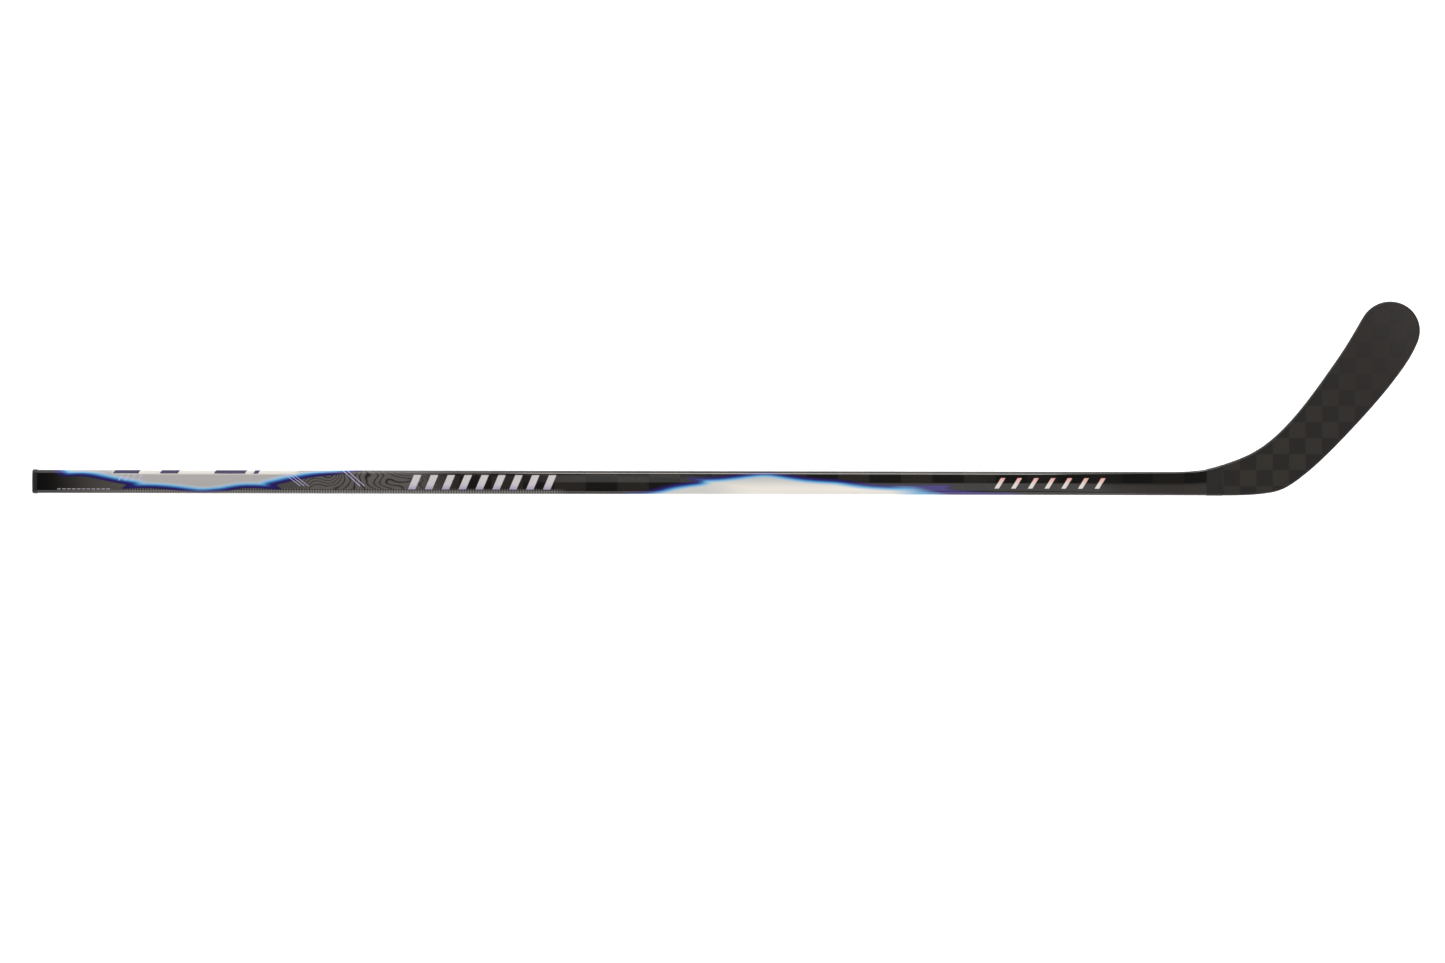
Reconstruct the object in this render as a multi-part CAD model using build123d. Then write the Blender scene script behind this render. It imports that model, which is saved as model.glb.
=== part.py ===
from build123d import *

import math
import os

# A senior one-piece composite ice hockey stick, lying on the flat back of its shaft.
# Millimetres. +X runs down the shaft from the butt to the blade, +Y points from the sole side of
# the shaft to its upper side, and +Z is up. The origin is on the resting face, at the middle of
# the straight part of the shaft.

# Driving dimensions of the shaft.
BAR_LENGTH = 1200.0  # the straight part, with one constant section
TAPER_LENGTH = 247.0
FLARE_LENGTH = 70.0  # the end of the taper, where its upper edge rises to the blade
SHAFT_WIDTH = 29.0
SHAFT_THICKNESS = 20.0  # over the ridge
RIDGE = 0.8  # the front face is two flats that meet in a low ridge
CORNER = 5.0
WRAP = 0.6  # the outer checked ply
LAMINATE = 1.0  # the structural plies under it
SMALLEST_ROUND = 0.5  # of a corner inside the wall

# Driving dimensions of the blade.
SEAM_UPPER = 23.0  # height of the upper edge over the centreline, where the blade starts
SEAM_BACK = 2.2  # height of the back face over the rest plane, where the blade starts
SEAM_THICKNESS = 13.0
TOE_THICKNESS = 6.0
EDGE_ROUND = 2.4
BEND_ANGLE = 40.0  # the blade bends along this direction, which opens its face at the toe
THIN_START = 664.0  # this and the next two are stations along the bend direction
BEND_START = 739.0
TOE_STATION = 954.0
BEND_RADIUS = 607.0
TOE_CENTRE = (1049.0, 186.0)
TOE_RADIUS = 36.4
SKIN = 1.0
RAIL = 3.5  # width of the solid edge rail
RIB = 2.4  # thickness of the web between the two cores
HEEL_INSERT_END = 893.0

# Driving dimensions of the hosel.
TANG_LENGTH = 92.0
TANG_WALL = 1.2
BAND_LENGTH = 19.0
BAND_HEIGHT = 0.3

# Driving dimensions of the butt cap.
FLANGE_LENGTH = 6.0
FLANGE_FLARE = 0.5  # on the two narrow sides
FLANGE_GAP = 0.1  # between the flange and the end of the shaft
FLANGE_ROUND = 2.2
SPIGOT_LENGTH = 38.0
PANEL_MARGIN = 4.6  # the flange's end has a shallow sunk panel inside this margin
PANEL_DEPTH = 0.6
SPIGOT_WALL = 1.5
SPIGOT_CLEARANCE = 0.45
CRUSH_RIB = 0.25  # height of the ribs along the spigot
CRUSH_RIB_WIDTH = 1.6
LEAD_IN = 0.7

# Derived stations along X, and depths from the outer surface.
X_BUTT = -BAR_LENGTH / 2
X_TAPER = BAR_LENGTH / 2
X_SEAM = X_TAPER + TAPER_LENGTH
HALF_WIDTH = SHAFT_WIDTH / 2
SHOULDER = SHAFT_THICKNESS - RIDGE
BORE = WRAP + LAMINATE
TAPER_SECTIONS = 11
SPAN = 400.0  # longer and wider than the blade, for the forms that cut it
BEND_SPAN = 3 * SPAN  # the same, measured across the bend from the origin
CLEAR = 40.0  # well outside the blade's faces

# The blade's outline seen from above. Both edges start inside the hosel, short of the seam.
UPPER_EDGE = (
    (X_SEAM - 12, 19.4),
    (X_SEAM, SEAM_UPPER),
    (884.4, 38.2),
    (928.2, 74.2),
    (972.1, 130.9),
    (1001.4, 175.7),
)
SOLE_EDGE = (
    (X_SEAM - 12, -HALF_WIDTH),
    (X_SEAM + 10, -HALF_WIDTH),
    (899.0, -12.0),
    (915.0, -8.8),
    (942.9, 7.4),
    (1001.4, 62.9),
    (1059.9, 132.4),
)
UPPER_START = 18.0  # heading of the upper edge where it starts
TOE_UPPER = 150.0  # where the toe's arc meets the two edges, as angles about its centre
TOE_SOLE = -20.0
INSET_POINTS = 13

# The web between the two cores follows the middle of the blade, and runs on past both ends.
MIDLINE = (
    (880.0, 9.0),
    (921.0, 29.0),
    (950.0, 54.0),
    (997.5, 108.5),
    (1028.0, 151.0),
    (1055.0, 196.0),
    (1080.0, 243.0),
)
LEAD_STRAIGHT = 80.0  # flat stretch of the blade's two faces before the first bend station
BEND_STATIONS = (THIN_START, 700.0, BEND_START, 785.0, 835.0, 885.0, 930.0, TOE_STATION, 990.0)


def heading(angle):
    """The unit vector at an angle in the XY plane."""
    turn = math.radians(angle)
    return (math.cos(turn), math.sin(turn))


def ease(t):
    """A smooth step from 0 to 1."""
    t = min(max(t, 0.0), 1.0)
    return t * t * (3 - 2 * t)


def ridged_face(x, left, right, low, shoulder, ridge, radius):
    """A face across the shaft at x, with four rounded corners and a ridge along its top."""
    middle = (left + right) / 2
    corners = [(left, low), (right, low), (right, shoulder), (middle, shoulder + ridge),
               (left, shoulder)]
    face = make_face(Polyline(*corners, close=True))
    square = [v for v in face.vertices() if abs(v.X - middle) > radius / 2]
    plane = Plane(origin=(x, 0, 0), x_dir=(0, 1, 0), z_dir=(1, 0, 0))
    return plane * fillet(square, radius)


def section(x, inset):
    """The shaft's section at x, set in from its outer surface."""
    t = ease((x - X_TAPER) / TAPER_LENGTH)
    flare = max(0.0, 1 + (x - X_SEAM) / FLARE_LENGTH)
    upper = HALF_WIDTH + (SEAM_UPPER - HALF_WIDTH) * flare ** 3
    low = SEAM_BACK * t
    high = SHOULDER + (SEAM_BACK + SEAM_THICKNESS - SHOULDER) * t
    radius = CORNER + (EDGE_ROUND - CORNER) * t
    return ridged_face(x, inset - HALF_WIDTH, upper - inset, low + inset, high - inset,
                       RIDGE * (1 - t), max(radius - inset, SMALLEST_ROUND))


def bar_form(inset):
    """The straight part of the shaft as a solid."""
    return extrude(section(X_BUTT, inset), amount=BAR_LENGTH)


def taper_form(inset):
    """The taper as a solid."""
    step = TAPER_LENGTH / (TAPER_SECTIONS - 1)
    return loft([section(X_TAPER + i * step, inset) for i in range(TAPER_SECTIONS)])


def tube(form, outer, inner):
    """The wall of a form between two depths from its outer surface."""
    return form(outer) - form(inner)


def slice_x(shape, start, end):
    """The part of a shape between two stations along X."""
    block = Box(end - start, 2 * SPAN, 2 * SPAN, align=(Align.MIN, Align.CENTER, Align.CENTER))
    return shape & (Pos(start, 0, 0) * block)


def prism(face):
    """An upright form that cuts everything over and under a face."""
    return extrude(face, amount=SPAN, both=True)


def toe_point(angle, inset=0.0):
    """A point on the arc of the toe, set in from its edge."""
    ahead, across = heading(angle)
    radius = TOE_RADIUS - inset
    return (TOE_CENTRE[0] + radius * ahead, TOE_CENTRE[1] + radius * across)


def beside(curve, depth):
    """A curve beside another one, depth to the right of it."""
    points = []
    for i in range(INSET_POINTS):
        t = i / (INSET_POINTS - 1)
        along = curve.tangent_at(t)
        points.append(curve.position_at(t) + Vector(along.Y, -along.X) * depth)
    return Spline(*points, tangents=[curve.tangent_at(0), curve.tangent_at(1)])


def blade_outline(inset=0.0):
    """The blade's outline as a face, set in from its edge."""
    upper = Spline(*UPPER_EDGE, toe_point(TOE_UPPER),
                   tangents=[heading(UPPER_START), heading(TOE_UPPER - 90)])
    sole = Spline(*SOLE_EDGE, toe_point(TOE_SOLE),
                  tangents=[heading(0), heading(TOE_SOLE + 90)])
    if inset:
        upper = beside(upper, inset)
        sole = beside(sole, -inset)
    tip = toe_point((TOE_UPPER + TOE_SOLE) / 2, inset)
    toe = ThreePointArc(sole @ 1, tip, upper @ 1)
    end = Line(upper @ 0, sole @ 0)
    return make_face([sole, toe, upper, end])


def back_height(s):
    """Height of the blade's back face at station s along the bend direction."""
    return SEAM_BACK + max(0.0, s - BEND_START) ** 2 / (2 * BEND_RADIUS)


def blade_thickness(s):
    share = min(max((s - THIN_START) / (TOE_STATION - THIN_START), 0.0), 1.0)
    return TOE_THICKNESS + (SEAM_THICKNESS - TOE_THICKNESS) * (1 + math.cos(math.pi * share)) / 2


def bent_line(share, lift):
    """The edges of a bent sheet, seen along it: the back face, plus a share of the thickness,
    plus lift. It starts with a straight, well short of the seam."""
    points = [(s, back_height(s) + share * blade_thickness(s) + lift) for s in BEND_STATIONS]
    start = (BEND_STATIONS[0] - LEAD_STRAIGHT, points[0][1])
    (near, low), (far, high) = points[-2:]
    curve = Spline(*points, tangents=[(1, 0), (far - near, high - low)])
    return start, points[-1], [Line(start, points[0]), curve]


def bent_slab(low_share, low_lift, high_share, high_lift):
    """The space between two bent sheets."""
    low_start, low_end, low_edges = bent_line(low_share, low_lift)
    high_start, high_end, high_edges = bent_line(high_share, high_lift)
    outline = low_edges + [Line(low_end, high_end)] + high_edges + [Line(high_start, low_start)]
    ahead, across = heading(BEND_ANGLE)
    plane = Plane(origin=(0, 0, 0), x_dir=(ahead, across, 0), z_dir=(across, -ahead, 0))
    return extrude(plane * make_face(outline), amount=BEND_SPAN, both=True)


def is_upright(edge):
    return edge.bounding_box().size.Z > 2 * max(edge.bounding_box().size.X,
                                                edge.bounding_box().size.Y)


def blade_form():
    """The blade as one solid, with rounded edges."""
    whole = prism(blade_outline()) & bent_slab(0, 0, 1, 0)
    rims = [e for e in whole.edges() if e.center().X > X_SEAM and not is_upright(e)]
    return slice_x(fillet(rims, EDGE_ROUND), X_SEAM, X_SEAM + SPAN)


def blade_parts():
    """Two skins over an edge rail, a heel insert, and two foam cores parted by a web."""
    whole = blade_form()
    middle = whole & bent_slab(0, SKIN, 1, -SKIN)
    field = prism(blade_outline(RAIL))
    inside = middle & field
    cored = slice_x(inside, HEEL_INSERT_END, HEEL_INSERT_END + SPAN)
    web = prism(trace(Spline(*MIDLINE), RIB))
    cores = (cored - web).solids().sort_by(Axis((0, 0, 0), (-1, 1, 0)))
    return {
        "blade_front_skin": whole & bent_slab(1, -SKIN, 1, CLEAR),
        "blade_back_skin": whole & bent_slab(0, -CLEAR, 0, SKIN),
        "blade_edge_rail": middle - field,
        "heel_insert": slice_x(inside, X_SEAM, HEEL_INSERT_END),
        "blade_rib": cored & web,
        "blade_core_lower": cores[0],
        "blade_core_upper": cores[-1],
    }


def hosel_parts():
    """The taper's two plies, the blade's tang glued inside them, and the band over the seam."""
    tang_start = X_SEAM - TANG_LENGTH
    tang = tube(taper_form, BORE, BORE + TANG_WALL)
    band = tube(taper_form, -BAND_HEIGHT, 0)
    return {
        "hosel_laminate": tube(taper_form, WRAP, BORE),
        "hosel_outer_wrap": tube(taper_form, 0, WRAP),
        "blade_tang": slice_x(tang, tang_start, X_SEAM),
        "tang_core": slice_x(taper_form(BORE + TANG_WALL), tang_start, X_SEAM),
        "hosel_band": slice_x(band, X_SEAM - BAND_LENGTH, X_SEAM),
    }


def shaft_parts():
    """The straight shaft's structural tube, and the checked ply around it."""
    return {
        "shaft_laminate": tube(bar_form, WRAP, BORE),
        "shaft_outer_wrap": tube(bar_form, 0, WRAP),
    }


def butt_cap():
    """A flange over the end of the shaft, and a hollow ribbed spigot that pushes into its bore."""
    seat = X_BUTT - FLANGE_GAP
    half = HALF_WIDTH + FLANGE_FLARE
    outer_end = seat - FLANGE_LENGTH
    flange = extrude(ridged_face(outer_end, -half, half, 0, SHOULDER, RIDGE, CORNER),
                     amount=FLANGE_LENGTH)
    rim = flange.faces().sort_by(Axis.X)[0].edges()
    flange = fillet(rim, FLANGE_ROUND)
    inner = half - PANEL_MARGIN
    panel = extrude(ridged_face(outer_end, -inner, inner, PANEL_MARGIN, SHOULDER - PANEL_MARGIN,
                                RIDGE, CORNER - FLANGE_ROUND), amount=PANEL_DEPTH)
    flange -= panel

    fit = BORE + SPIGOT_CLEARANCE
    spigot = extrude(section(seat, fit), amount=SPIGOT_LENGTH)
    spigot = chamfer(spigot.faces().sort_by(Axis.X)[-1].edges(), LEAD_IN)
    hollow = extrude(section(seat, fit + SPIGOT_WALL), amount=SPIGOT_LENGTH)

    width = 2 * (HALF_WIDTH - fit)
    height = SHOULDER - 2 * fit
    rib_length = SPIGOT_LENGTH - 2 * LEAD_IN
    rib_centre = seat + rib_length / 2
    mid_z = fit + height / 2
    side_ribs = Pos(rib_centre, 0, mid_z) * Box(rib_length, width + 2 * CRUSH_RIB, CRUSH_RIB_WIDTH)
    body = flange + spigot + side_ribs
    for across in (-width / 4, width / 4):
        rib = Box(rib_length, CRUSH_RIB_WIDTH, height + 2 * CRUSH_RIB)
        body += Pos(rib_centre, across, mid_z) * rib
    return body - hollow


if __name__ == "__main__":
    os.makedirs("parts", exist_ok=True)
    parts = {"butt_cap": butt_cap(), **shaft_parts(), **hosel_parts(), **blade_parts()}
    for name, shape in parts.items():
        solids = shape.solids()
        print(name, len(solids), round(shape.volume), shape.is_valid)
        export_step(solids[0], f"parts/{name}.step")
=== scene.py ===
import math
from collections import namedtuple

import bmesh
import bpy
import numpy as np
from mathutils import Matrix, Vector


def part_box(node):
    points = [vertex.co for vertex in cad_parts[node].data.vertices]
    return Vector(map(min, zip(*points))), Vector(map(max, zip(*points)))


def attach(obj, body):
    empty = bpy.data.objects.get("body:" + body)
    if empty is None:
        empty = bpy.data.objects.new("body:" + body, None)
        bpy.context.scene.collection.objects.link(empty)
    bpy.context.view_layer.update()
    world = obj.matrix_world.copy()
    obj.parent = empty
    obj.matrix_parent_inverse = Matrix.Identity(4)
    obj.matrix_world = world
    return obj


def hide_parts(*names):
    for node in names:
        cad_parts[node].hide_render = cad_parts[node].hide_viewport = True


# An ice hockey stick on a pale studio floor, seen from straight above. Everything is in metres in
# the frame of the CAD model: +X runs from the butt to the blade, +Y to the side that the blade
# rises to, and +Z up from the face that the stick lies on.

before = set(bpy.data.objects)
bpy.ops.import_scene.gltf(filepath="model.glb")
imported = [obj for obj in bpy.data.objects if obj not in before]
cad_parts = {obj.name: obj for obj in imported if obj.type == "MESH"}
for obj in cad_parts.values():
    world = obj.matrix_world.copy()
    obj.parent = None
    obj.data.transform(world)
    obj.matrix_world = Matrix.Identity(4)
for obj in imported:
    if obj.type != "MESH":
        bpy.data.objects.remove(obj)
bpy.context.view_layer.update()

MM = 0.001

# ---- Sizes taken from the frame ----

bar_low, bar_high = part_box("shaft_outer_wrap")
tube_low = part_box("shaft_laminate")[0]
taper_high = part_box("hosel_outer_wrap")[1]

X_BUTT = bar_low.x
X_TAPER = bar_high.x
X_SEAM = taper_high.x
HALF_WIDTH = bar_high.y
THICKNESS = bar_high.z
SEAM_UPPER = taper_high.y
WRAP = tube_low.z
TAPER_LENGTH = X_SEAM - X_TAPER

# ---- The form of the shaft and blade, as the CAD has it ----

WALL = 1.6 * MM
RIDGE = 0.8 * MM
SHOULDER = THICKNESS - RIDGE
CORNER = 5 * MM
EDGE_ROUND = 2.4 * MM
FLARE_LENGTH = 70 * MM
SEAM_BACK = 2.2 * MM
SEAM_THICKNESS = 13 * MM
TOE_THICKNESS = 6 * MM
BEND_ANGLE = 40.0  # direction in which the blade bends and thins, in degrees
THIN_START = 664 * MM  # places along that direction
BEND_START = 739 * MM
TOE_STATION = 954 * MM
BEND_RADIUS = 607 * MM
TOE_CENTRE = Vector((1.049, 0.186))
TOE_RADIUS = 36.4 * MM
TOE_UPPER = 150.0  # directions in which the toe's round ends, in degrees
TOE_SOLE = -20.0

# Points along the blade's two edges, from the seam toward the toe
UPPER_EDGE = ((X_SEAM, SEAM_UPPER), (0.8844, 0.0382), (0.9282, 0.0742), (0.9721, 0.1309),
              (1.0014, 0.1757))
SOLE_EDGE = ((X_SEAM, -HALF_WIDTH), (0.899, -0.012), (0.915, -0.0088), (0.9429, 0.0074),
             (1.0014, 0.0629), (1.0599, 0.1324))
UPPER_START = 19.0  # heading of the upper edge at the seam

RIDGE_BLEND = 0.06  # share of the half width over which the ridge's crest is rounded
SMALLEST_ROUND = 0.5 * MM
MERGE_DISTANCE = 0.005 * MM
SHARP_ANGLE = 50.0  # edges that turn more than this, in degrees, are shaded sharp

# ---- Fineness of the meshes ----

ROUND_STEPS = 7
FLANK_STEPS = 4
INNER_SHARES = (0.05, 0.16, 0.34, 0.56, 0.78, 0.93, 1.0)  # from the rounded rim to the spine
EDGE_STATIONS = 60
TOE_STATIONS = 32
SHAFT_PIECES = 4
SHAFT_STEPS = 120
HOSEL_STEPS = 80
OUTLINE_STEPS = 8
TINY = 1e-9  # keeps a division away from zero
STRETCH = 0.3  # the panels' colours blend over longer stretches along the shaft than across it


def heading(angle):
    """The direction at an angle in degrees."""
    turn = math.radians(angle)
    return Vector((math.cos(turn), math.sin(turn)))


def ease(t):
    """0 to 1, with a smooth start and end."""
    t = min(max(t, 0.0), 1.0)
    return t * t * (3 - 2 * t)


def spline(points, start, end, count):
    """Points along the smooth curve through some points, with a heading at each end."""
    knots = np.array([tuple(p) for p in points], float)
    gaps = np.linalg.norm(np.diff(knots, axis=0), axis=1)
    size = len(knots)
    system = np.zeros((size, size))
    wanted = np.zeros((size, 2))
    system[0, 0] = system[-1, -1] = 1
    wanted[0], wanted[-1] = start, end
    for i in range(1, size - 1):
        before, after = gaps[i - 1], gaps[i]
        system[i, i - 1:i + 2] = after, 2 * (before + after), before
        wanted[i] = 3 * (after * (knots[i] - knots[i - 1]) / before
                         + before * (knots[i + 1] - knots[i]) / after)
    slopes = np.linalg.solve(system, wanted)
    ends = np.concatenate(([0.0], np.cumsum(gaps)))
    curve = []
    for where in np.linspace(0, ends[-1], count):
        i = min(int(np.searchsorted(ends, where, side="right")) - 1, size - 2)
        t, gap = (where - ends[i]) / gaps[i], gaps[i]
        curve.append(Vector(((1 + 2 * t) * (1 - t) ** 2 * knots[i] + t * (1 - t) ** 2 * gap * slopes[i]
                             + t * t * (3 - 2 * t) * knots[i + 1]
                             + t * t * (t - 1) * gap * slopes[i + 1])))
    return curve


def shaft_levels(x):
    """Upper side, back and front heights, ridge and corner radius of the shaft at x."""
    t = ease((x - X_TAPER) / TAPER_LENGTH)
    flare = max(0.0, 1 + (x - X_SEAM) / FLARE_LENGTH)
    upper = HALF_WIDTH + (SEAM_UPPER - HALF_WIDTH) * flare ** 3
    front = SHOULDER + (SEAM_BACK + SEAM_THICKNESS - SHOULDER) * t
    return upper, SEAM_BACK * t, front, RIDGE * (1 - t), CORNER + (EDGE_ROUND - CORNER) * t


def blade_levels(point):
    """Heights of the blade's back and front face over a point of the floor."""
    s = point.dot(heading(BEND_ANGLE))
    back = SEAM_BACK + max(0.0, s - BEND_START) ** 2 / (2 * BEND_RADIUS)
    share = min(max((s - THIN_START) / (TOE_STATION - THIN_START), 0.0), 1.0)
    thin = (1 - math.cos(math.pi * share)) / 2
    return back, back + SEAM_THICKNESS + (TOE_THICKNESS - SEAM_THICKNESS) * thin


def column(rim, spine, heights, radius, side, ridge=0.0, inside=0.0):
    """One line of points round the edge of the form: along the front from the spine to the rim,
    down the rounded rim, and along the back to the spine again. heights gives the back and front
    over a point. Each point is (position, fold, inside). The fold is the distance from the nearer
    spine round the surface, positive on the upper side and negative on the sole's side."""
    reach = (spine - rim).length
    inward = (spine - rim) / reach
    steps = []
    for i in range(ROUND_STEPS + 1):
        turn = math.pi / 2 * i / ROUND_STEPS
        steps.append((radius * (1 - math.cos(turn)), radius * (1 - math.sin(turn))))
    for share in INNER_SHARES:
        steps.append((radius + (reach - radius) * share, 0.0))
    front, back = [], []
    for depth, drop in steps:
        spot = rim + inward * depth
        low, high = heights(spot)
        crest = 1 - depth / reach
        lift = ridge * (1 + RIDGE_BLEND - math.hypot(crest, RIDGE_BLEND))
        front.append(Vector((spot.x, spot.y, high - drop + lift)))
        back.append(Vector((spot.x, spot.y, low + drop)))
    flank = [front[0].lerp(back[0], i / FLANK_STEPS) for i in range(1, FLANK_STEPS)]
    line = front[::-1] + flank + back
    around = [0.0]
    for a, b in zip(line, line[1:]):
        around.append(around[-1] + (b - a).length)
    half = around[-1] / 2
    return [(p, side * (half - abs(g - half)) / MM, inside) for p, g in zip(line, around)]


def shaft_columns(x, inset=0.0):
    """The sole-side and the upper-side column of the shaft's section at x."""
    upper, back, front, ridge, radius = shaft_levels(x)
    middle = Vector((x, (upper - HALF_WIDTH) / 2))
    heights = (back + inset, front - inset)
    radius = max(radius - inset, SMALLEST_ROUND)
    sides = []
    for side, rim_y in ((-1, inset - HALF_WIDTH), (1, upper - inset)):
        rim = Vector((x, rim_y))
        sides.append(column(rim, middle, lambda _: heights, radius, side, ridge, float(inset > 0)))
    return sides


def panel_outline(stretches, far):
    """A panel's edge as a dense line, and the whole outline closed on the far side."""
    edge = []
    for points in stretches:
        first = Vector(points[1]) - Vector(points[0])
        last = Vector(points[-1]) - Vector(points[-2])
        edge += spline(points, first.normalized(), last.normalized(), OUTLINE_STEPS * len(points))
    edge = np.array([tuple(p) for p in edge]) * (STRETCH, 1)
    return edge, np.vstack((edge, [(edge[-1, 0], far), (edge[0, 0], far)]))


def depth_in_panel(points, edge, outline):
    """Distance of each point from a panel's edge, positive inside the panel."""
    starts, runs = edge[:-1], np.diff(edge, axis=0)
    lengths = np.maximum((runs ** 2).sum(axis=1), TINY)
    along = ((points[:, None] - starts) * runs).sum(axis=2) / lengths
    nearest = starts + np.clip(along, 0, 1)[:, :, None] * runs
    distance = np.sqrt(((points[:, None] - nearest) ** 2).sum(axis=2)).min(axis=1)
    before, after = outline, np.roll(outline, -1, axis=0)
    px, py = points[:, :1], points[:, 1:]
    spans = (before[:, 1] > py) != (after[:, 1] > py)
    rise = after[:, 1] - before[:, 1]
    rise = np.where(np.abs(rise) < TINY, TINY, rise)
    crossing = before[:, 0] + (py - before[:, 1]) * (after[:, 0] - before[:, 0]) / rise
    inside = (spans & (px < crossing)).sum(axis=1) % 2 == 1
    return np.where(inside, distance, -distance)


def build(name, strips):
    """A mesh object from strips of columns. Each strip is a list of columns side by side. Faces
    that touch the inner wall get the second material."""
    mesh = bpy.data.meshes.new(name)
    work = bmesh.new()
    fold = work.verts.layers.float.new("fold")
    bare = work.verts.layers.float.new("inside")
    for strip in strips:
        grid = []
        for points in strip:
            row = []
            for position, fold_value, bare_value in points:
                vertex = work.verts.new(position)
                vertex[fold] = fold_value
                vertex[bare] = bare_value
                row.append(vertex)
            grid.append(row)
        for left, right in zip(grid, grid[1:]):
            for i in range(len(left) - 1):
                work.faces.new((left[i], right[i], right[i + 1], left[i + 1]))
    bmesh.ops.remove_doubles(work, verts=work.verts, dist=MERGE_DISTANCE)
    bmesh.ops.holes_fill(work, edges=[e for e in work.edges if e.is_boundary], sides=0)
    bmesh.ops.recalc_face_normals(work, faces=work.faces)
    for face in work.faces:
        face.smooth = True
        face.material_index = int(any(vertex[bare] > 0.5 for vertex in face.verts))
    for edge in work.edges:
        if len(edge.link_faces) == 2 and edge.calc_face_angle(0.0) > math.radians(SHARP_ANGLE):
            edge.smooth = False
    work.to_mesh(mesh)
    work.free()
    obj = bpy.data.objects.new(name, mesh)
    bpy.context.collection.objects.link(obj)
    return obj


def shaft_length(name, start, end, wall, outer_steps, inner_steps):
    """A length of hollow shaft between two stations, with its own end faces. Each point knows how
    deep it lies in the nearest painted panel."""
    outer = [shaft_columns(start + (end - start) * i / outer_steps) for i in range(outer_steps + 1)]
    inner = [shaft_columns(end + (start - end) * i / inner_steps, wall)
             for i in range(inner_steps + 1)]
    loop = outer + inner + outer[:1]
    obj = build(name, [[sides[k] for sides in loop] for k in (0, 1)])
    count = len(obj.data.vertices)
    spots, folds = np.zeros(count * 3), np.zeros(count)
    obj.data.vertices.foreach_get("co", spots)
    obj.data.attributes["fold"].data.foreach_get("value", folds)
    points = np.column_stack(((spots[::3] - X_BUTT) / MM * STRETCH, folds))
    depth = np.maximum(depth_in_panel(points, *BUTT_PANEL), depth_in_panel(points, *MIDDLE_PANEL))
    layer = obj.data.attributes.new("panel", "FLOAT", "POINT")
    layer.data.foreach_set("value", depth)
    return obj


def blade_shell():
    """The blade's outer surface in one piece, closed where it meets the hosel."""
    toe_upper = TOE_CENTRE + heading(TOE_UPPER) * TOE_RADIUS
    toe_sole = TOE_CENTRE + heading(TOE_SOLE) * TOE_RADIUS
    upper = spline(UPPER_EDGE + (tuple(toe_upper),), heading(UPPER_START),
                   heading(TOE_UPPER - 90), EDGE_STATIONS)
    sole = spline(SOLE_EDGE + (tuple(toe_sole),), heading(0), heading(TOE_SOLE + 90),
                  EDGE_STATIONS)
    spine = [(a + b) / 2 for a, b in zip(upper, sole)]
    stations = list(zip(sole, spine))
    for i in range(1, TOE_STATIONS):
        angle = TOE_SOLE + (TOE_UPPER - TOE_SOLE) * i / TOE_STATIONS
        stations.append((TOE_CENTRE + heading(angle) * TOE_RADIUS, spine[-1]))
    stations += reversed(list(zip(upper, spine)))
    columns = [column(rim, middle, blade_levels, EDGE_ROUND, 1) for rim, middle in stations]
    return build("blade_shell", [columns])


# ---- Node trees ----

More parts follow.
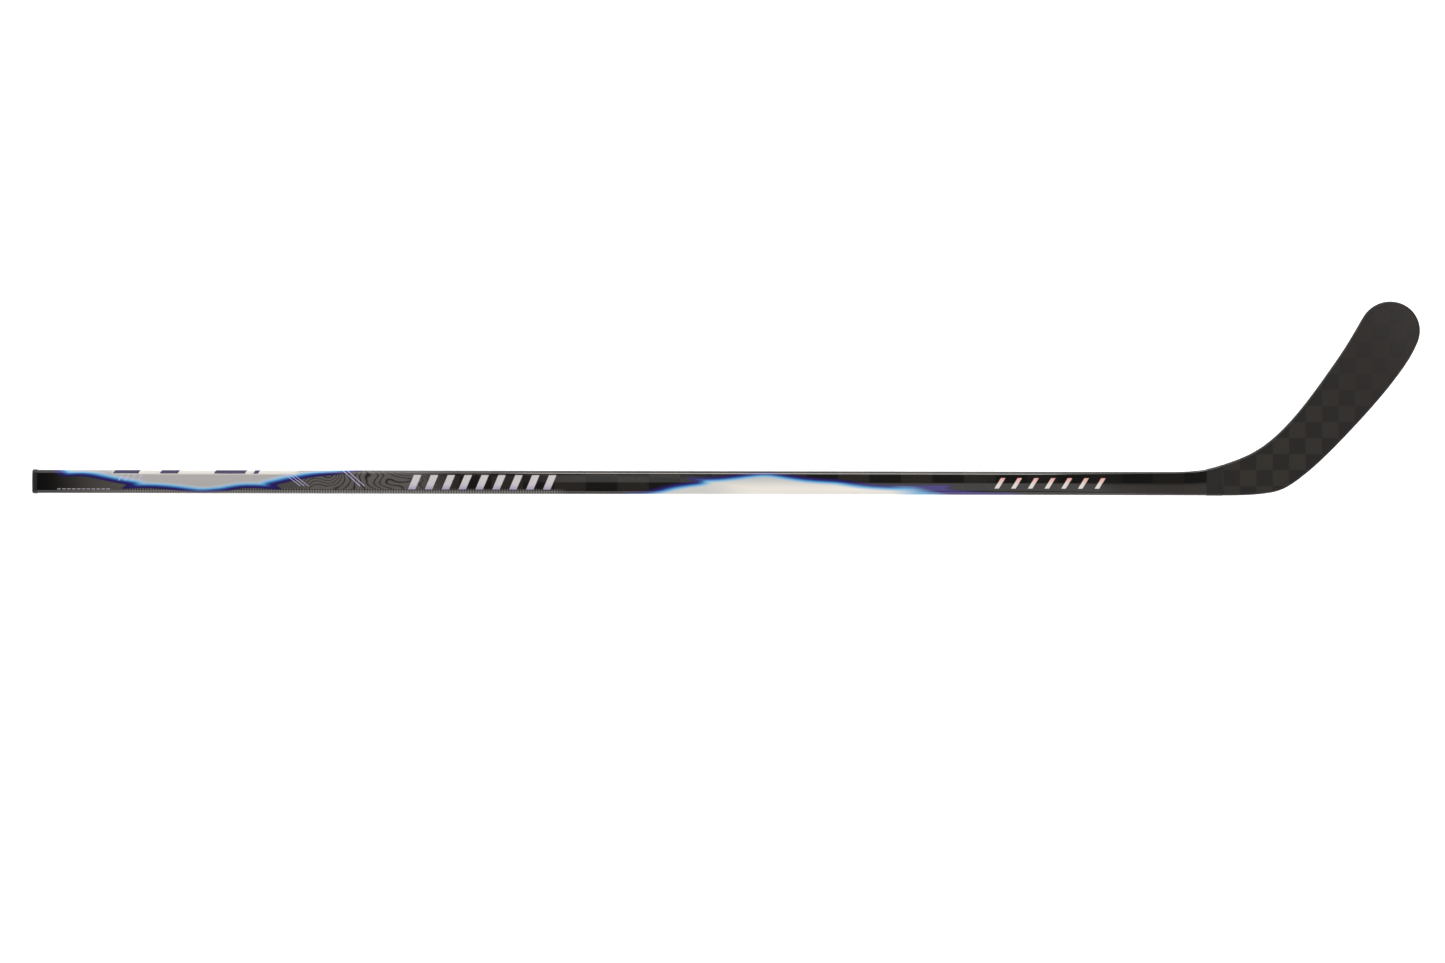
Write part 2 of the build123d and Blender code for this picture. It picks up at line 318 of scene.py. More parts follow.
class Tree:
    """A material's nodes, with short calls that return sockets."""

    def __init__(self, name):
        self.material = bpy.data.materials.new(name)
        self.material.use_nodes = True
        self.tree = self.material.node_tree
        self.tree.nodes.clear()
        self.output = self.tree.nodes.new("ShaderNodeOutputMaterial")
        self.shader = self.tree.nodes.new("ShaderNodeBsdfPrincipled")
        self.link(self.shader.outputs[0], self.output.inputs[0])

    def link(self, source, socket):
        self.tree.links.new(source, socket)

    def put(self, value, socket):
        """Sets a socket to a value, or links it to another socket."""
        if isinstance(value, bpy.types.NodeSocket):
            self.link(value, socket)
        elif value is not None:
            socket.default_value = value

    def node(self, kind, **values):
        made = self.tree.nodes.new(kind)
        for key, value in values.items():
            setattr(made, key, value)
        return made

    def math(self, operation, a, b=None, c=None, clamp=False):
        made = self.node("ShaderNodeMath", operation=operation, use_clamp=clamp)
        for value, socket in zip((a, b, c), made.inputs):
            self.put(value, socket)
        return made.outputs[0]

    def add(self, a, b):
        return self.math("ADD", a, b)

    def sub(self, a, b):
        return self.math("SUBTRACT", a, b)

    def mul(self, a, b):
        return self.math("MULTIPLY", a, b)

    def mix(self, share, a, b):
        """Colour a where share is 0, colour b where it is 1."""
        made = self.node("ShaderNodeMix", data_type="RGBA")
        for value, index in ((share, 0), (a, 6), (b, 7)):
            self.put(value, made.inputs[index])
        return made.outputs[2]

    def blend(self, share, a, b):
        """The same for two numbers."""
        made = self.node("ShaderNodeMix", data_type="FLOAT")
        for value, index in ((share, 0), (a, 2), (b, 3)):
            self.put(value, made.inputs[index])
        return made.outputs[0]

    def step(self, value, low, high):
        """0 under low, 1 over high, smooth between."""
        made = self.node("ShaderNodeMapRange", interpolation_type="SMOOTHSTEP")
        for item, socket in zip((value, low, high), made.inputs):
            self.put(item, socket)
        return made.outputs[0]

    def window(self, value, low, high, soft):
        """1 between low and high, 0 outside."""
        return self.mul(self.step(value, low - soft, low + soft),
                        self.step(value, high + soft, high - soft))

    def ramp(self, value, stops):
        """Colours at places from 0 to 1."""
        made = self.node("ShaderNodeValToRGB")
        band = made.color_ramp
        while len(band.elements) < len(stops):
            band.elements.new(0.5)
        for element, (place, colour) in zip(band.elements, stops):
            element.position = place
            element.color = colour
        self.put(value, made.inputs[0])
        return made.outputs[0]

    def place(self):
        """Object coordinates, as three sockets, in metres."""
        where = self.node("ShaderNodeTexCoord").outputs["Object"]
        made = self.node("ShaderNodeSeparateXYZ")
        self.link(where, made.inputs[0])
        return made.outputs

    def attribute(self, name):
        """A number that the mesh stores at each vertex."""
        return self.node("ShaderNodeAttribute", attribute_name=name).outputs["Fac"]

    def vector(self, x, y, z=0.0):
        made = self.node("ShaderNodeCombineXYZ")
        for value, socket in zip((x, y, z), made.inputs):
            self.put(value, socket)
        return made.outputs[0]

    def noise(self, where, scale, detail=2.0, roughness=0.5):
        made = self.node("ShaderNodeTexNoise")
        self.put(where, made.inputs["Vector"])
        for name, value in (("Scale", scale), ("Detail", detail), ("Roughness", roughness)):
            made.inputs[name].default_value = value
        return made.outputs[0]

    def bump(self, height, depth):
        """Tilts the surface as a relief would, where a height of 1 stands for depth in metres."""
        made = self.node("ShaderNodeBump")
        made.inputs["Strength"].default_value = 1.0
        made.inputs["Distance"].default_value = depth
        self.put(height, made.inputs["Height"])
        self.link(made.outputs[0], self.shader.inputs["Normal"])

    def finish(self, colour, roughness, **fixed):
        """The material with its colour and roughness, and plain numbers such as coat_weight."""
        self.put(colour, self.shader.inputs["Base Color"])
        self.put(roughness, self.shader.inputs["Roughness"])
        for name, value in fixed.items():
            socket = name.replace("_", " ").title().replace("Ior", "IOR")
            self.shader.inputs[socket].default_value = value
        return self.material


def paint(code):
    """A linear colour from an sRGB hex code."""
    channels = [int(code[i:i + 2], 16) / 255 for i in (0, 2, 4)]
    linear = [c / 12.92 if c <= 0.04045 else ((c + 0.055) / 1.055) ** 2.4 for c in channels]
    return (*linear, 1.0)


# ---- Colours ----

VIOLET_DEEP = paint("1b1346")
VIOLET = paint("241a5c")
TAIL_VIOLET = paint("35286c")
BLUE = paint("2c5f9e")
BLUE_LIGHT = paint("66a2cb")
PALE_BLUE = paint("a9bccb")
SILVER_FIELD = paint("a09e9e")
WHITE_FIELD = paint("dad6cf")
SHADED_FIELD = paint("abafad")
DARK_TOW = paint("080808")
LIGHT_TOW = paint("25221e")
TAPER_REFLECTION_GREY = paint("33302e")
SATIN_BLACK = paint("070707")
SATIN_GREY = paint("464340")
GRIP_BASE = paint("605d5b")
GRIP_SHADE = paint("4c4947")
GRIP_LINE = paint("121111")
KNURL_DARK = paint("1c1a19")
KNURL_LIGHT = paint("6b6763")
SILVER_BAR = paint("c6c2c1")
SILVER_SHADE = paint("aaa6b0")
SILVER_FOOT = paint("9d99b0")
WHITE_PAINT = paint("c9c6c1")
ROSE_PAINT = paint("d6a49f")
LAVENDER = paint("b9b3dc")

# ---- Layout of the shaft's finish ----

# Places along the shaft are in mm from the butt, and a fold is in mm from the nearer spine. A
# pair of them is where something starts to show and where it shows in full. A zone is a start,
# an end and how soft both are.

# A panel's edge is smooth between its arrow tips. Each point is (place, fold).
BUTT_EDGE = (
    ((16, 15), (26, 8), (53, 6.2), (75, 2.8), (102, -2.5), (110, -3.8)),
    ((110, -3.8), (102, -9.2)),
    ((102, -9.2), (119, -8.4), (150, -8.8), (181, -12.3), (201, -14), (217, -13.1),
     (233, -11.4), (248, -8.6), (279, -8.5), (300, -9.3)),
    ((300, -9.3), (292, -3.7)),
    ((292, -3.7), (310, 0.5), (326, 3.7), (342, 6.3), (371, 9.3), (400, 14)),
)
MIDDLE_EDGE = (
    ((706, -16), (714, -12.8), (733, -11), (747, -8.9), (767, -3.7), (784, -0.6), (800, 1.5)),
    ((800, 1.5), (790, 6.9)),
    ((790, 6.9), (810, 7), (826, 7.5), (858, 10.9), (894, 13.4), (923, 9.6), (960, 5.6),
     (980, 4.4), (1004, 1), (1036, -1.8), (1120, -1.7)),
    ((1120, -1.7), (1112, -7.3)),
    ((1112, -7.3), (1158, -10.5), (1201, -13.1), (1212, -16)),
)
FAR_SIDE = 60  # a fold past both flanks, which closes the panels' outlines
BUTT_PANEL = panel_outline(BUTT_EDGE, FAR_SIDE)
MIDDLE_PANEL = panel_outline(MIDDLE_EDGE, -FAR_SIDE)

PANEL_EDGE = (-0.15, 0.15)
PANEL_DEPTH = 11  # mm into a panel over which its colours run
PANEL_RAMP = ((0.0, VIOLET_DEEP), (0.2, VIOLET), (0.34, BLUE), (0.47, BLUE_LIGHT),
              (0.68, PALE_BLUE))
FIELD_DEPTH = (0.48, 0.82)  # share of that depth over which the plain field begins
FIELD_CHANGE = (600, 640)  # the field is silver before this and white after it
# Painted shade darkens the white field toward its upper side and its start
SHADE_ACROSS = (-9, 9)  # the white field is shaded toward its upper side and its start
SHADE_ALONG = (880, 810)
TAIL = (1035, 1085)
TAIL_DEPTH = (0.4, 1.8)
TAIL_VIOLET_FROM = (1056, 1096)
TAIL_LEAN = (8, 4)  # from a fold of -8, the turn to violet comes 4 mm sooner for each mm up

CHECK = 38.45  # length of a tow's bar, in mm
CHECK_START = 708.4
CHECK_ROW = 19.6
ROW_DRIFT = (1000, 311, 8)  # rows shift by up to 8 mm over 311 mm, going back from 1000
FIBRE_SHARE = 0.35  # how much of the carbon's tone comes from its fibres, the rest from the tows
# Painted reflection: past this place the lower half's checks wash out toward one paler tone
LOWER_REFLECTION_FROM = (880, 960)  # the lower half has hardly any checks past this
LOWER_REFLECTION_FOLD = (1, -1)
LOWER_REFLECTION_SHARE = 0.75
LOWER_REFLECTION_TONE = 0.8  # between the tone of a dark square, 0, and of a light one, 1
# Painted shade darkens the taper's upper half, and a painted reflection pales its lower half
TAPER_SHADE = (1140, 1200)
TAPER_SHADE_FOLD = (-1, 1)
TAPER_SHADE_SHARE = 0.6
TAPER_PAINTED_REFLECTION = (1240, 1340)
TAPER_PAINTED_REFLECTION_FOLD = (1, -4)
TAPER_PAINTED_REFLECTION_SHARE = 0.75

SATIN = (330, 280)
SATIN_LIGHTENS = (6, 104)
GRAIN = 1.6  # noise steps per mm
GRAIN_STEP = (0.35, 0.7)
GRIP = (305, 482, 36)
GRIP_COVER = 0.8
FAINT_LINES = (650, 770, 20)
FAINTER_LINES = (1148, 1330, 12)
FAINT_COVER = 0.5
HILLS = (0.013, 0.024, 4.2)  # noise steps per mm along and across, and the seed
CONTOURS = 40
CONTOUR_DRIFT = (0.1, 0.14)  # further contours per mm along and across
CONTOUR_LINE = (0.34, 0.56, 0.1)
KNURL = 6.4  # twice the pitch of the knurled band's diamonds, in mm
KNURL_SLANT = 1.2
KNURL_ZONE = (108, 640, 10)
KNURL_EDGE = (-8.0, -8.6)
KNURL_BORDER = (-0.12, 0.12)
KNURL_COVER = 0.8

# Rows of slanted bars. A bar has a width along the shaft and reaches from a low to a high fold.
Bars = namedtuple("Bars", "first count low high pitch width slant")
DASHES = Bars(27, 11, -9.6, -8.6, 6, 4.4, 0.3)
SILVER_BARS = Bars(456, 9, -8.8, 8.8, 20.6, 9.0, 0.42)
SLIM_BARS = Bars(1172, 7, -6.4, 6.4, 20.4, 5.4, 0.62)
STROKES = (
    Bars(98, 4, 1.4, 8.7, 8, 1.0, 0.6),
    Bars(314, 3, -5, 9.5, 5, 0.9, -1.3),
    Bars(388, 2, -5, 14, 5.5, 1.0, -1.1),
)
BAR_INSET = 0.5  # mm from the start of a pitch to its bar
BAR_SOFT = 0.25
ROW_SOFT = 0.1
DASH_COVER = 0.8
SILVER_GRAIN = 0.6
SILVER_FOOT_FOLD = (-2, -8)
ROSE_FOLD = (-3, 6)

# The white strip on the upper flank, and its violet blocks by start and length
WHITE_STRIP = (93, 318, 6)
STRIP_FOLD = (8.7, 9.1)
VIOLET_BLOCKS = ((88, 31), (145, 22), (211, 38), (259, 6))
BLOCK_FOLD = (9.7, 10.1)
BLOCK_SLANT = 0.5
BLOCK_SOFT = 0.4

# The relief and the roughness, as shares of its depth and as ranges
RELIEF_DEPTH = 0.15 * MM
GRAIN_HEIGHT = 0.5
LINE_HEIGHT = 0.5
FIBRE_HEIGHT = 0.06
KNURL_HEIGHT = 0.6
CLEAR_ROUGH = (0.28, 0.38)
GRIP_ROUGH = (0.45, 0.6)

# ---- The shaft's finish ----


def fibres(t, x, y, scale_x, scale_y):
    """Streaks of fibre, drawn out along the direction of the smaller scale."""
    return t.noise(t.vector(t.mul(x, scale_x), t.mul(y, scale_y)), 1.0, 3, 0.6)


def woven_tows(t, u, fold):
    """Wide flat tows woven over and under: which way a tow runs, and its fibres."""
    drift_from, drift_span, drift_most = ROW_DRIFT
    back = t.math("DIVIDE", t.sub(drift_from, u), drift_span, clamp=True)
    row = t.math("FLOOR", t.math("DIVIDE", t.sub(fold, t.mul(back, drift_most)), CHECK_ROW))
    place = t.math("FLOOR", t.math("DIVIDE", t.sub(u, CHECK_START), CHECK))
    over = t.math("PINGPONG", t.add(row, place), 1)
    # Painted reflection washes the checks out of the lower half toward the hosel
    lower_reflection = t.mul(t.step(fold, *LOWER_REFLECTION_FOLD), t.step(u, *LOWER_REFLECTION_FROM))
    over = t.blend(t.mul(lower_reflection, LOWER_REFLECTION_SHARE), over, LOWER_REFLECTION_TONE)
    return over, t.blend(over, fibres(t, u, fold, 0.02, 2.2), fibres(t, u, fold, 2.2, 0.03))


def carbon_colour(t, u, fold, over, fibre):
    """Checked carbon, with painted shade over the taper's upper half and a paler painted reflection
    over its lower half.
    """
    colour = t.mix(t.blend(FIBRE_SHARE, over, fibre), DARK_TOW, LIGHT_TOW)
    # Painted shade over the taper's upper half
    shade = t.mul(t.step(u, *TAPER_SHADE), t.step(fold, *TAPER_SHADE_FOLD))
    colour = t.mix(t.mul(shade, TAPER_SHADE_SHARE), colour, DARK_TOW)
    # Painted reflection: the taper's lower half turns paler grey
    pale = t.mul(t.step(u, *TAPER_PAINTED_REFLECTION), t.step(fold, *TAPER_PAINTED_REFLECTION_FOLD))
    return t.mix(t.mul(pale, TAPER_PAINTED_REFLECTION_SHARE), colour, TAPER_REFLECTION_GREY)


def contour_lines(t, u, fold):
    """Wavering lines like a map's contours, 1 on a line."""
    along, across, seed = HILLS
    hills = t.noise(t.vector(t.mul(u, along), t.mul(fold, across), seed), 1.0, 1.5, 0.4)
    drift = t.add(t.mul(u, CONTOUR_DRIFT[0]), t.mul(fold, CONTOUR_DRIFT[1]))
    level = t.math("FRACT", t.add(t.mul(hills, CONTOURS), drift))
    return t.window(level, *CONTOUR_LINE)


def knurls(t, u, fold):
    """Diamonds in two crossed waves, from -1 to 1."""
    waves = [t.math("SINE", t.mul(t.add(u, t.mul(fold, slant)), 2 * math.pi / KNURL))
             for slant in (KNURL_SLANT, -KNURL_SLANT)]
    return t.mul(*waves)


def bars(t, u, fold, row):
    """1 on the bars of a row."""
    lean = t.sub(t.sub(u, row.first), t.mul(fold, row.slant))
    phase = t.mul(t.math("FRACT", t.math("DIVIDE", lean, row.pitch)), row.pitch)
    bar = t.window(phase, BAR_INSET, BAR_INSET + row.width, BAR_SOFT)
    length = t.window(lean, 0, row.count * row.pitch, ROW_SOFT)
    return t.mul(bar, t.mul(length, t.window(fold, row.low, row.high, BAR_SOFT)))


def panel_paint(t, u, fold, panel):
    """The panels' colours by depth: violet at the edge, then blue, then a pale field, with painted
    shade on the white field. The middle panel ends in a tail that turns from light blue to violet."""
    # Painted shade: the white field is darker toward its upper side and toward its start
    shade = t.math("MAXIMUM", t.step(fold, *SHADE_ACROSS), t.mul(t.step(u, *SHADE_ALONG), 0.6))
    white = t.mix(shade, WHITE_FIELD, SHADED_FIELD)
    field = t.mix(t.step(u, *FIELD_CHANGE), SILVER_FIELD, white)
    depth = t.math("DIVIDE", panel, PANEL_DEPTH, clamp=True)
    colour = t.mix(t.step(depth, *FIELD_DEPTH), t.ramp(depth, PANEL_RAMP), field)
    reach = t.add(u, t.mul(t.add(fold, TAIL_LEAN[0]), TAIL_LEAN[1]))
    tail = t.mix(t.step(reach, *TAIL_VIOLET_FROM), BLUE_LIGHT, TAIL_VIOLET)
    return t.mix(t.mul(t.step(u, *TAIL), t.step(panel, *TAIL_DEPTH)), colour, tail)


def printed_marks(t, u, fold, where, colour):
    """The colour with bars, the upper flank's strip and its blocks, and strokes printed over."""
    silver = t.mix(t.noise(where, SILVER_GRAIN), SILVER_BAR, SILVER_SHADE)
    silver = t.mix(t.step(fold, *SILVER_FOOT_FOLD), silver, SILVER_FOOT)
    colour = t.mix(bars(t, u, fold, SILVER_BARS), colour, silver)
    slim = t.mix(t.step(fold, *ROSE_FOLD), WHITE_PAINT, ROSE_PAINT)
    colour = t.mix(bars(t, u, fold, SLIM_BARS), colour, slim)
    strip = t.mul(t.window(u, *WHITE_STRIP), t.step(fold, *STRIP_FOLD))
    colour = t.mix(strip, colour, WHITE_PAINT)
    lean = t.sub(u, t.mul(fold, BLOCK_SLANT))
    for start, length in VIOLET_BLOCKS:
        block = t.window(lean, start, start + length, BLOCK_SOFT)
        colour = t.mix(t.mul(block, t.step(fold, *BLOCK_FOLD)), colour, VIOLET_DEEP)
    strokes = 0.0
    for row in STROKES:
        strokes = t.add(strokes, bars(t, u, fold, row))
    return t.mix(t.math("MINIMUM", strokes, 1), colour, LAVENDER)


def shaft_paint():
    t = Tree("shaft_paint")
    x, _, z = t.place()
    u = t.add(t.mul(x, 1 / MM), -X_BUTT / MM)
    fold = t.attribute("fold")
    panel = t.attribute("panel")
    where = t.vector(u, fold, t.mul(z, 1 / MM))
    over, fibre = woven_tows(t, u, fold)
    grain = t.noise(where, GRAIN)
    line = contour_lines(t, u, fold)
    grip = t.window(u, *GRIP)
    knurl = knurls(t, u, fold)
    knurled = t.mul(t.window(u, *KNURL_ZONE), t.step(fold, *KNURL_EDGE))
    painted = t.step(panel, *PANEL_EDGE)

    # Carbon, satin paint at the butt, and a grip coat with contour lines
    satin = t.mix(t.step(u, *SATIN_LIGHTENS), SATIN_BLACK, SATIN_GREY)
    colour = t.mix(t.step(u, *SATIN), carbon_colour(t, u, fold, over, fibre), satin)
    coat = t.mix(t.step(grain, *GRAIN_STEP), GRIP_BASE, GRIP_SHADE)
    colour = t.mix(t.mul(grip, GRIP_COVER), colour, coat)
    colour = t.mix(t.mul(line, grip), colour, GRIP_LINE)
    faint = t.add(t.window(u, *FAINT_LINES), t.mul(t.window(u, *FAINTER_LINES), 0.5))
    colour = t.mix(t.mul(t.mul(line, faint), FAINT_COVER), colour, DARK_TOW)

    # A knurled band along the lower corner, dashes at the butt, the panels, and the marks
    diamonds = t.mix(t.step(knurl, *KNURL_BORDER), KNURL_DARK, KNURL_LIGHT)
    colour = t.mix(t.mul(knurled, KNURL_COVER), colour, diamonds)
    colour = t.mix(t.mul(bars(t, u, fold, DASHES), DASH_COVER), colour, SILVER_SHADE)
    colour = t.mix(painted, colour, panel_paint(t, u, fold, panel))
    colour = printed_marks(t, u, fold, where, colour)

    # Clear coat over all, rougher where the grip coat is
    coated = t.mul(grip, t.sub(1, painted))
    rough = t.blend(coated, t.blend(fibre, *CLEAR_ROUGH), t.blend(grain, *GRIP_ROUGH))
    coat_height = t.mul(grip, t.add(t.mul(grain, GRAIN_HEIGHT), t.mul(line, LINE_HEIGHT)))
    height = t.add(coat_height, t.mul(t.sub(1, grip), t.mul(fibre, FIBRE_HEIGHT)))
    t.bump(t.add(height, t.mul(knurled, t.mul(knurl, KNURL_HEIGHT))), RELIEF_DEPTH)
    return t.finish(colour, rough, specular_ior_level=0.15, coat_weight=1.0, coat_roughness=0.07)


# ---- The other materials ----

PLIES = 6  # in the shaft's wall
PLY_STREAKS = (30, 900, 900)  # noise steps per metre along each axis
THREAD_STREAKS = (1500, 40, 40)
THREAD_PITCH = 1.0 * MM
WEAVE_STREAKS = (20, 2200)  # along a fibre and across it
FOAM_CELLS = 900
CLOUDS = 60
ROUGH_SPREAD = 0.08
BLADE_CHECK = (20.05, 19.6)  # size of a square, in mm
BLADE_CHECK_START = (848.4, -2.9)
TOE_DIRECTION = (0.64, 0.77)  # along the blade, toward the toe
# Painted glare washes out the blade's squares toward the toe
TOE_PAINTED_GLARE = (0.62, 0.8)  # the squares fade over this stretch of that direction, in metres
WHITE = (1, 1, 1, 1)
FLOOR_SHADE = (0.88, 0.88, 0.88, 1)
FLOOR_LIGHT = (0.9, 0.9, 0.9, 1)
FLOOR_GLOW = 0.8
BACKDROP_GLOW = 1.2


def streaks(t, scales, detail):
    """Noise drawn out along the axes of the smaller scales."""
    where = [t.mul(place, scale) for place, scale in zip(t.place(), scales)]
    return t.noise(t.vector(*where), 1.0, detail, 0.6)


def laminate(name):
    """Bare carbon laminate."""
    t = Tree(name)
    streak = streaks(t, PLY_STREAKS, 4)
    t.bump(streak, 0.1 * MM)
    return t.finish(t.mix(streak, paint("0f0f10"), paint("333130")), t.blend(streak, 0.35, 0.6))


def bare_wall():
    """The inner wall and the cut ends of the shaft, where the plies show as fine lines."""
    t = Tree("bare_wall")
    streak = streaks(t, PLY_STREAKS, 4)
    inside = t.attribute("inside")
    ply = t.math("PINGPONG", t.mul(inside, 2 * PLIES), 1)
    cut = t.window(inside, 0.02, 0.98, 0.02)
    edge = t.mul(cut, ply)
    colour = t.mix(streak, paint("141414"), paint("3a3735"))
    colour = t.mix(edge, colour, paint("6a6661"))
    t.bump(t.add(t.mul(streak, 0.5), edge), 0.1 * MM)
    return t.finish(colour, t.blend(streak, 0.4, 0.65))


def blade_weave():
    """Checked carbon in squares, with painted glare that washes the squares out toward the toe."""
    t = Tree("blade_weave")
    x, y, _ = t.place()
    cells = []
    for where, start, size in zip((x, y), BLADE_CHECK_START, BLADE_CHECK):
        cells.append(t.math("FLOOR", t.math("DIVIDE", t.sub(t.mul(where, 1 / MM), start), size)))
    over = t.math("PINGPONG", t.add(*cells), 1)
    low, high = WEAVE_STREAKS
    fibre = t.blend(over, fibres(t, x, y, low, high), fibres(t, x, y, high, low))
    reach = t.add(t.mul(x, TOE_DIRECTION[0]), t.mul(y, TOE_DIRECTION[1]))
    # Painted glare: toward the toe the squares' two tones draw together
    toe = t.step(reach, *TOE_PAINTED_GLARE)
    dark = t.mix(toe, paint("191817"), paint("211e1c"))
    light = t.mix(toe, paint("292521"), paint("25201e"))
    colour = t.mix(t.mul(fibre, 0.35), t.mix(over, dark, light), paint("171514"))
    t.bump(fibre, 0.04 * MM)
    return t.finish(colour, t.blend(fibre, 0.36, 0.5), specular_ior_level=0.35)


def hosel_binding():
    """The woven tape bound over the joint, with its threads running round."""
    t = Tree("hosel_binding")
    thread = t.math("PINGPONG", t.mul(t.place()[0], 2 / THREAD_PITCH), 1)
    streak = streaks(t, THREAD_STREAKS, 3)
    colour = t.mix(streak, paint("131211"), paint("262422"))
    colour = t.mix(t.mul(thread, 0.25), colour, paint("0e0e0e"))
    t.bump(t.add(t.mul(thread, 0.6), t.mul(streak, 0.4)), 0.05 * MM)
    return t.finish(colour, t.blend(streak, 0.28, 0.42))


def moulded(name, dark, light, roughness, speckle):
    """Moulded plastic with a fine spark texture."""
    t = Tree(name)
    x, y, z = t.place()
    where = t.vector(x, y, z)
    grain = t.noise(where, speckle)
    cloud = t.noise(where, CLOUDS, 3)
    t.bump(grain, 0.08 * MM)
    rough = t.blend(grain, roughness - ROUGH_SPREAD, roughness + ROUGH_SPREAD)
    return t.finish(t.mix(cloud, paint(dark), paint(light)), rough)


def foam(name):
    """Pale foam with fine cells."""
    t = Tree(name)
    x, y, z = t.place()
    cells = t.node("ShaderNodeTexVoronoi")
    t.link(t.vector(x, y, z), cells.inputs["Vector"])
    cells.inputs["Scale"].default_value = FOAM_CELLS
    distance = cells.outputs["Distance"]
    t.bump(distance, 0.3 * MM)
    return t.finish(t.mix(distance, paint("a9a59b"), paint("d3cfc4")), 0.9)


def studio_floor():
    """Matt white, hardly mottled, with a glow of its own."""
    t = Tree("floor")
    x, y, _ = t.place()
    mottle = t.noise(t.vector(x, y), 3.0)
    return t.finish(t.mix(mottle, FLOOR_SHADE, FLOOR_LIGHT), 0.9, emission_color=WHITE,
                    emission_strength=FLOOR_GLOW, specular_ior_level=0.0)


def studio_backdrop():
    """Plain glowing white."""
    return Tree("backdrop").finish(WHITE, 1.0, emission_color=WHITE,
                                   emission_strength=BACKDROP_GLOW)


# ---- Pieces ----

painted = shaft_paint()
bare = bare_wall()
for i in range(SHAFT_PIECES):
    start = X_BUTT + (X_TAPER - X_BUTT) * i / SHAFT_PIECES
    end = X_BUTT + (X_TAPER - X_BUTT) * (i + 1) / SHAFT_PIECES
    piece = shaft_length(f"shaft_length_{i + 1}", start, end, WALL, SHAFT_STEPS, 1)
    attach(piece, "stick")
    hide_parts("shaft_outer_wrap", "shaft_laminate")
    piece.data.materials.append(painted)
    piece.data.materials.append(bare)

hosel = shaft_length("hosel_shell", X_TAPER, X_SEAM, WRAP, HOSEL_STEPS, HOSEL_STEPS)
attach(hosel, "stick")
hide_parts("hosel_outer_wrap")
hosel.data.materials.append(painted)
hosel.data.materials.append(bare)

blade = blade_shell()
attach(blade, "stick")
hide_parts("blade_front_skin", "blade_back_skin", "blade_edge_rail")
blade.data.materials.append(blade_weave())

plies = laminate("laminate")
foamed = foam("core_foam")
NODE_FINISHES = {
    "butt_cap": moulded("cap_plastic", "080808", "111110", 0.42, 2600),
    "hosel_band": hosel_binding(),
    "hosel_laminate": plies,
    "blade_tang": plies,
    "blade_rib": plies,
    "tang_core": foamed,
    "blade_core_lower": foamed,
    "blade_core_upper": foamed,
    "heel_insert": moulded("heel_resin", "4a4238", "6a5f50", 0.4, 900),
}
for name, material in NODE_FINISHES.items():
    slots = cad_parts[name].data.materials
    slots.clear()
    slots.append(material)

# ---- Floor, backdrop and camera ----

FLOOR_SIZE = 80.0
bpy.ops.mesh.primitive_plane_add(size=FLOOR_SIZE, location=(0, 0, 0))
floor = bpy.context.object
floor.name = "floor"
floor.data.materials.append(studio_floor())

# A white wall far round the floor, which only the camera sees
WALL_RADIUS = 36.0
WALL_HEIGHT = 30.0
WALL_SIDES = 64
WALL_FOOT = -1.0
bpy.ops.mesh.primitive_cylinder_add(vertices=WALL_SIDES, radius=WALL_RADIUS, depth=WALL_HEIGHT,
                                    end_fill_type="NOTHING",
                                    location=(0, 0, WALL_FOOT + WALL_HEIGHT / 2))
backdrop = bpy.context.object
backdrop.name = "backdrop"
backdrop.visible_glossy = False
backdrop.visible_diffuse = False
backdrop.visible_shadow = False
backdrop.data.materials.append(studio_backdrop())

LENS = 180.0
VIEW_WIDTH = 1.7633  # what the frame takes in, at the height of the shaft's front
VIEW_CENTRE = (0.2367, 0.0015)
ROLL = 0.002
camera_data = bpy.data.cameras.new("camera")
camera_data.lens = LENS
camera = bpy.data.objects.new("camera", camera_data)
bpy.context.collection.objects.link(camera)
camera_height = THICKNESS + VIEW_WIDTH * LENS / camera_data.sensor_width
camera.location = (*VIEW_CENTRE, camera_height)
camera.rotation_euler = (0, 0, ROLL)
bpy.context.scene.camera = camera

# ---- Light ----

CARD_HEIGHT = 4.1
SIDE_HEIGHT = 2.0
SIDE_TILT = -45.0
WARM_WHITE = (1.0, 0.94, 0.88)

WALL_SPAN = 0.7  # share of the way to either side over which the wall changes its level
WALL_LEVELS = (1.95, 2.35)
LOW_LEVEL = 0.35
LOW_EDGE = (0.28, 0.5)  # height of a direction over which the wall's light begins
CEILING_LEVEL = 0.02
CEILING_EDGE = (0.7, 0.86)
STUDIO_WHITE = (1, 0.985, 0.98, 1)


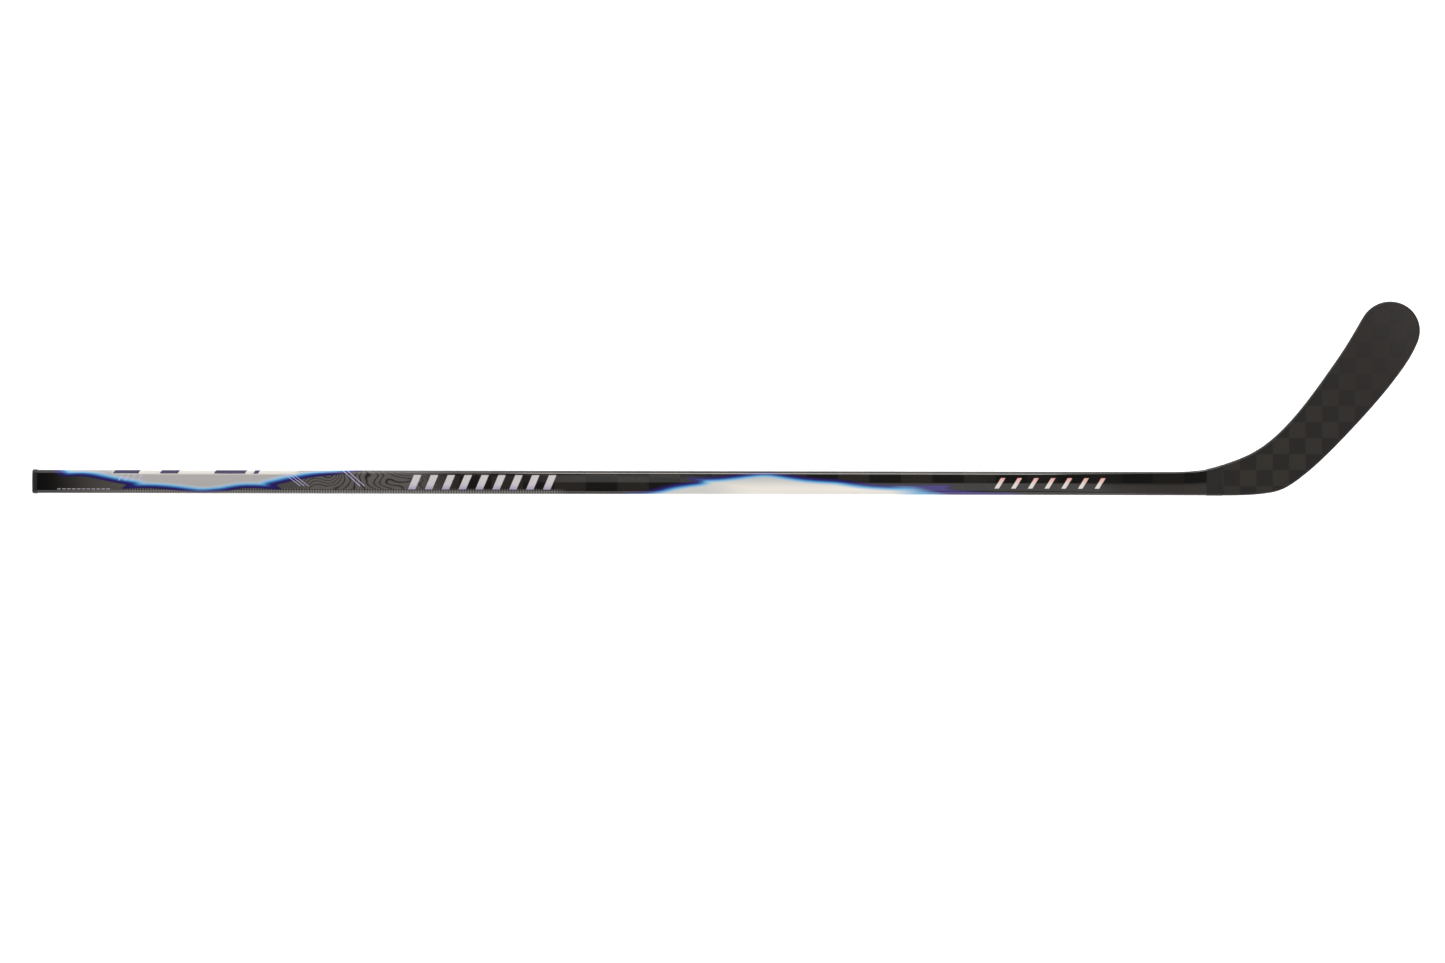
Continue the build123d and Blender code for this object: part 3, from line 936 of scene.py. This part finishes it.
def card(name, low, high, height, radiance, tilt=0.0, tint=(1, 1, 1)):
    """A rectangle of light over the floor, from one corner to the other. It shines down, or
    tilts about its long axis."""
    width, depth = high[0] - low[0], high[1] - low[1]
    data = bpy.data.lights.new(name, "AREA")
    data.shape = "RECTANGLE"
    data.size, data.size_y = width, depth
    data.energy = radiance * math.pi * width * depth
    data.color = tint
    obj = bpy.data.objects.new(name, data)
    bpy.context.collection.objects.link(obj)
    obj.location = ((low[0] + high[0]) / 2, (low[1] + high[1]) / 2, height)
    obj.rotation_euler.x = math.radians(tilt)
    obj.visible_camera = False


def studio():
    """Bright low walls and a dark ceiling. The wall on the upper side is the brightest."""
    world = bpy.data.worlds.new("studio")
    bpy.context.scene.world = world
    world.use_nodes = True
    tree = world.node_tree
    parts = tree.nodes.new("ShaderNodeSeparateXYZ")
    where = tree.nodes.new("ShaderNodeTexCoord")
    tree.links.new(where.outputs["Generated"], parts.inputs[0])

    def between(value, low, high, first, last):
        """From first to last as the value goes from low to high."""
        made = tree.nodes.new("ShaderNodeMapRange")
        made.interpolation_type = "SMOOTHSTEP"
        tree.links.new(value, made.inputs[0])
        for item, socket in zip((low, high, first, last), list(made.inputs)[1:5]):
            if isinstance(item, bpy.types.NodeSocket):
                tree.links.new(item, socket)
            else:
                socket.default_value = item
        return made.outputs[0]

    side, height = parts.outputs[1], parts.outputs[2]
    wall = between(side, -WALL_SPAN, WALL_SPAN, *WALL_LEVELS)
    glow = between(height, *LOW_EDGE, LOW_LEVEL, wall)
    level = between(height, *CEILING_EDGE, glow, CEILING_LEVEL)
    background = tree.nodes["Background"]
    tree.links.new(level, background.inputs["Strength"])
    background.inputs["Color"].default_value = STUDIO_WHITE


card("card_taper", (0.45, -0.9), (1.15, -0.03), CARD_HEIGHT, 1.1)
card("card_middle", (-0.08, 0.1), (0.2, 0.9), CARD_HEIGHT, 0.9)
card("card_side", (-0.1, 1.5), (0.85, 2.5), SIDE_HEIGHT, 8.0, SIDE_TILT, WARM_WHITE)
studio()
bpy.context.scene.view_settings.view_transform = "Standard"
